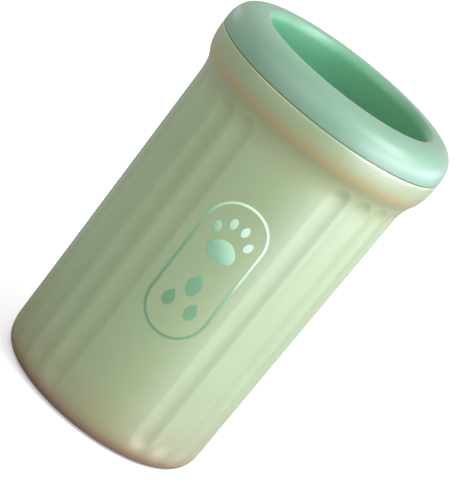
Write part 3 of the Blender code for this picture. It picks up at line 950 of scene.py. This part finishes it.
def finger(root, tip, base_radius):
    bm = bmesh.new()
    direction = tip - root
    turn = direction.to_track_quat("Z", "Y").to_matrix()
    rings = []
    for width, along in finger_profile():
        ring = []
        for i in range(FINGER_SIDES):
            angle = 2 * math.pi * i / FINGER_SIDES
            spoke = turn @ Vector((math.cos(angle), math.sin(angle), 0))
            ring.append(bm.verts.new(root + direction * along + spoke * base_radius * width))
        rings.append(ring)
    for here, there in zip(rings, rings[1:]):
        for i in range(FINGER_SIDES):
            k = (i + 1) % FINGER_SIDES
            bm.faces.new((here[i], here[k], there[k], there[i]))
    bm.faces.new(rings[0][::-1])
    crown = bm.verts.new(tip)
    for i in range(FINGER_SIDES):
        bm.faces.new((rings[-1][i], rings[-1][(i + 1) % FINGER_SIDES], crown))
    return bm


def wrapped_plate(width, thickness, height, radius, low_z, turn, ease):
    """A plate with eased corners bent round Z, its thickness centred on radius."""
    outline = rounded(((-width / 2, 0), (width / 2, 0), (width / 2, height), (-width / 2, height)), ease)
    bm = bmesh.new()
    bm.faces.new([bm.verts.new((x, -thickness / 2, z)) for x, z in outline])
    for i in range(1, PLATE_COLUMNS):
        geometry = bm.verts[:] + bm.edges[:] + bm.faces[:]
        cut = width * (i / PLATE_COLUMNS - 0.5)
        bmesh.ops.bisect_plane(bm, geom=geometry, plane_co=(cut, 0, 0), plane_no=(1, 0, 0))
    made = bmesh.ops.extrude_face_region(bm, geom=bm.faces[:])
    verts = [item for item in made["geom"] if isinstance(item, bmesh.types.BMVert)]
    bmesh.ops.translate(bm, vec=(0, thickness, 0), verts=verts)
    bmesh.ops.recalc_face_normals(bm, faces=bm.faces)
    for vert in bm.verts:
        angle = turn - vert.co.x / radius
        reach = radius + vert.co.y
        vert.co = (reach * math.cos(angle), reach * math.sin(angle), low_z + vert.co.z)
    return bm


def radial_finger(root_radius, tip_radius, angle, z, base_radius):
    """A finger that points at the cup's axis."""
    spoke = Vector((math.cos(angle), math.sin(angle), 0))
    lift = Vector((0, 0, z))
    return finger(spoke * root_radius + lift, spoke * tip_radius + lift, base_radius)


def panel_fingers(plate_radius, turn, low_z, height):
    """Rows of two long fingers, with three short ones between each row and the next."""
    pitch = height / FINGER_ROWS
    root = plate_radius - PANEL_THICKNESS / 2 + SILICONE_SINK
    long_tip = root - FINGER_LENGTH - SILICONE_SINK / 2
    short_tip = root - SHORT_FINGER_LENGTH
    side = BOSS_WIDTH / 4 / plate_radius
    fingers = []
    for row in range(FINGER_ROWS):
        z = low_z + pitch * (row + 0.5)
        for swing in (-side, side):
            fingers.append(radial_finger(root, long_tip, turn + swing, z, FINGER_RADIUS))
        if row == 0:
            continue
        between_z = z - pitch / 2
        for swing in (-2 * side, 0, 2 * side):
            fingers.append(radial_finger(root, short_tip, turn + swing, between_z, SHORT_FINGER_RADIUS))
    return fingers


def brush_panel(index, material):
    """A curved silicone plate with a boss in the cage's window and rows of soft fingers."""
    radius = CARRIER_RADIUS - CARRIER_WALL - GAP - PANEL_THICKNESS / 2
    turn = 2 * math.pi * (index + 0.5) / PANEL_COUNT
    boss_radius = radius + PANEL_THICKNESS / 2 + CARRIER_WALL / 2 - SILICONE_SINK
    boss_width = BOSS_WIDTH * boss_radius / radius
    boss_low = WINDOW_LOW_Z + GAP
    boss_height = WINDOW_HIGH_Z - WINDOW_LOW_Z - 2 * GAP
    height = PANEL_HIGH_Z - PANEL_LOW_Z
    parts = [
        wrapped_plate(PANEL_WIDTH, PANEL_THICKNESS, height, radius, PANEL_LOW_Z, turn, PANEL_CORNER),
        wrapped_plate(boss_width, CARRIER_WALL, boss_height, boss_radius, boss_low, turn, BOSS_CORNER),
    ]
    parts += panel_fingers(radius, turn, boss_low, boss_height)
    name = f"silicone_panel_{index + 1}"
    panel = add_piece(name, merged(parts), material)
    stand_for(panel, "brush_insert", "bristles", f"brush_panel_{index + 1}")


def floor_pad(material):
    """The disc of upright fingers on the cage's floor."""
    low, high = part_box("floor_brush")
    top_z = low.z + FLOOR_BRUSH_THICKNESS
    rim = rounded(((0, low.z), (high.x, low.z), (high.x, top_z), (0, top_z)), FLOOR_BRUSH_EASE)
    rim = [point for point in rim if point[0] > high.x / 2]
    parts = [lathe([(0, low.z), *rim, (0, top_z)], PAD_TURNS)]
    for radius, count in FLOOR_FINGER_RINGS:
        for i in range(count):
            angle = 2 * math.pi * i / count
            root = Vector((radius * math.cos(angle), radius * math.sin(angle), top_z - FLOOR_FINGER_SINK))
            tip = Vector((root.x, root.y, top_z + FLOOR_FINGER_HEIGHT))
            parts.append(finger(root, tip, FLOOR_FINGER_RADIUS))
    stand_for(add_piece("floor_pad", merged(parts), material), "brush_insert", "bristles", "floor_brush")


# ---------------------------------------------------------------- emblem

# A filled shape's rings, and the size of the last one as a share of the first
BLOB_ROWS = 5
BLOB_CORE = 0.02
# How far each outline departs from an oval
HEEL_NARROWING = 0.22
HEEL_FLATNESS = 0.12
HEEL_LOBES = 0.07
DROP_NARROWING = 0.55
PILL_END_STEPS = 40
PILL_SIDE_STEPS = 14


def on_panel(across, z, lift):
    """A place on the front panel: across is arc length to the right of its middle line."""
    wall = wall_radius(z)
    angle = across / wall - math.pi / 2
    return Vector(((wall + lift) * math.cos(angle), (wall + lift) * math.sin(angle), z))


def emblem_piece(name, rings, material):
    """A thin inlay. rings are closed rows of (across, height) points, each joined to the next."""
    bm = bmesh.new()
    layers = []
    for lift in (EMBLEM_LIFT, -EMBLEM_SINK):
        layers.append([[bm.verts.new(on_panel(x, z, lift)) for x, z in ring] for ring in rings])
    count = len(rings[0])
    for layer in layers:
        for here, there in zip(layer, layer[1:]):
            for i in range(count):
                k = (i + 1) % count
                bm.faces.new((here[i], here[k], there[k], there[i]))
    for row in (0, -1):
        top, low = layers[0][row], layers[1][row]
        for i in range(count):
            k = (i + 1) % count
            bm.faces.new((top[i], top[k], low[k], low[i]))
    stand_for(add_piece(name, bm, material, EMBLEM_SHARP_ANGLE), "cup", "shell")


def blob(name, across, z, outline, material):
    """A filled shape whose outline is given round its centre: rings shrink to a point-like core."""
    rings = []
    for i in range(BLOB_ROWS + 1):
        scale = 1 - i / BLOB_ROWS * (1 - BLOB_CORE)
        rings.append([(across + x * scale, z + up * scale) for x, up in outline])
    emblem_piece(name, rings, material)


def oval(width, height, lean, count=48):
    """An oval that leans to the left by an angle in radians."""
    points = []
    for i in range(count):
        angle = 2 * math.pi * i / count
        x, z = width / 2 * math.cos(angle), height / 2 * math.sin(angle)
        points.append((x * math.cos(lean) - z * math.sin(lean), x * math.sin(lean) + z * math.cos(lean)))
    return points


def heel_outline(width, height, count=72):
    """The main pad: round below its middle, narrower above, with a slightly flat base."""
    points = []
    for i in range(count):
        angle = 2 * math.pi * i / count
        above, below = max(0.0, math.sin(angle)), max(0.0, -math.sin(angle))
        narrow = 1 - HEEL_NARROWING * above**1.5
        flat = 1 - HEEL_FLATNESS * below**6
        lobe = 1 + HEEL_LOBES * math.cos(2 * angle) * below
        points.append((width / 2 * math.cos(angle) * narrow * lobe, height / 2 * math.sin(angle) * flat))
    return points


def drop_outline(width, height, count=48):
    """A water drop, pointed at its top."""
    points = []
    for i in range(count):
        angle = 2 * math.pi * i / count
        narrow = 1 - DROP_NARROWING * max(0.0, math.sin(angle)) ** 1.2
        points.append((width / 2 * math.cos(angle) * narrow, height / 2 * math.sin(angle)))
    return points


def pill_path(half_width, low_z, high_z):
    """Points round an upright pill, anticlockwise from its right side."""
    low_centre, high_centre = low_z + half_width, high_z - half_width
    side = high_centre - low_centre
    ends = [math.pi * i / PILL_END_STEPS for i in range(PILL_END_STEPS + 1)]
    sides = [side * i / PILL_SIDE_STEPS for i in range(1, PILL_SIDE_STEPS)]
    points = [(half_width * math.cos(a), high_centre + half_width * math.sin(a)) for a in ends]
    points += [(-half_width, high_centre - way) for way in sides]
    points += [(-half_width * math.cos(a), low_centre - half_width * math.sin(a)) for a in ends]
    points += [(half_width, low_centre + way) for way in sides]
    return points


def emblem(material):
    """A plain paw print over three water drops, in a pill-shaped frame."""
    outer = pill_path(PILL_HALF_WIDTH, PILL_LOW_Z, PILL_HIGH_Z)
    inner = pill_path(PILL_HALF_WIDTH - PILL_LINE, PILL_LOW_Z + PILL_LINE, PILL_HIGH_Z - PILL_LINE)
    emblem_piece("emblem_frame", [outer, inner], material)
    blob("emblem_heel", 0, HEEL_Z, heel_outline(*HEEL_SIZE), material)
    for i, (x, z, lean) in enumerate(TOES):
        blob(f"emblem_toe_{i + 1}", x * MM, z * MM, oval(*TOE_SIZE, lean), material)
    for i, (x, z, width, height) in enumerate(DROPS):
        blob(f"emblem_drop_{i + 1}", x * MM, z * MM, drop_outline(width * MM, height * MM), material)


# ---------------------------------------------------------------- assembly

FLOOR_SIZE = 3


def make_floor():
    bm = bmesh.new()
    bmesh.ops.create_grid(bm, x_segments=8, y_segments=8, size=FLOOR_SIZE)
    floor = add_piece("studio_floor", bm, floor_paint())


make_camera()
make_lights()
make_world()
make_floor()
bpy.context.scene.view_settings.view_transform = "Standard"

GREEN = moulded("green_plastic", (0.12, 0.34, 0.17), (0.14, 0.37, 0.19), roughness=0.36)
PALE = moulded("carrier_plastic", (0.62, 0.76, 0.62), (0.68, 0.80, 0.67), roughness=0.45)
BRISTLES = silicone("bristle_silicone", (0.42, 0.66, 0.47), (0.48, 0.71, 0.53))
SEAL = silicone("seal_silicone", (0.66, 0.72, 0.62), (0.72, 0.77, 0.68))
FOOT = silicone("foot_silicone", (0.20, 0.16, 0.09), (0.25, 0.20, 0.12))

outer_shell(shell_plastic())
mouth_ring(ring_plastic())
gasket(SEAL)
liner(GREEN)
foot(FOOT)
carrier(PALE)
for panel_index in range(PANEL_COUNT):
    brush_panel(panel_index, BRISTLES)
floor_pad(BRISTLES)
emblem(foil_print())
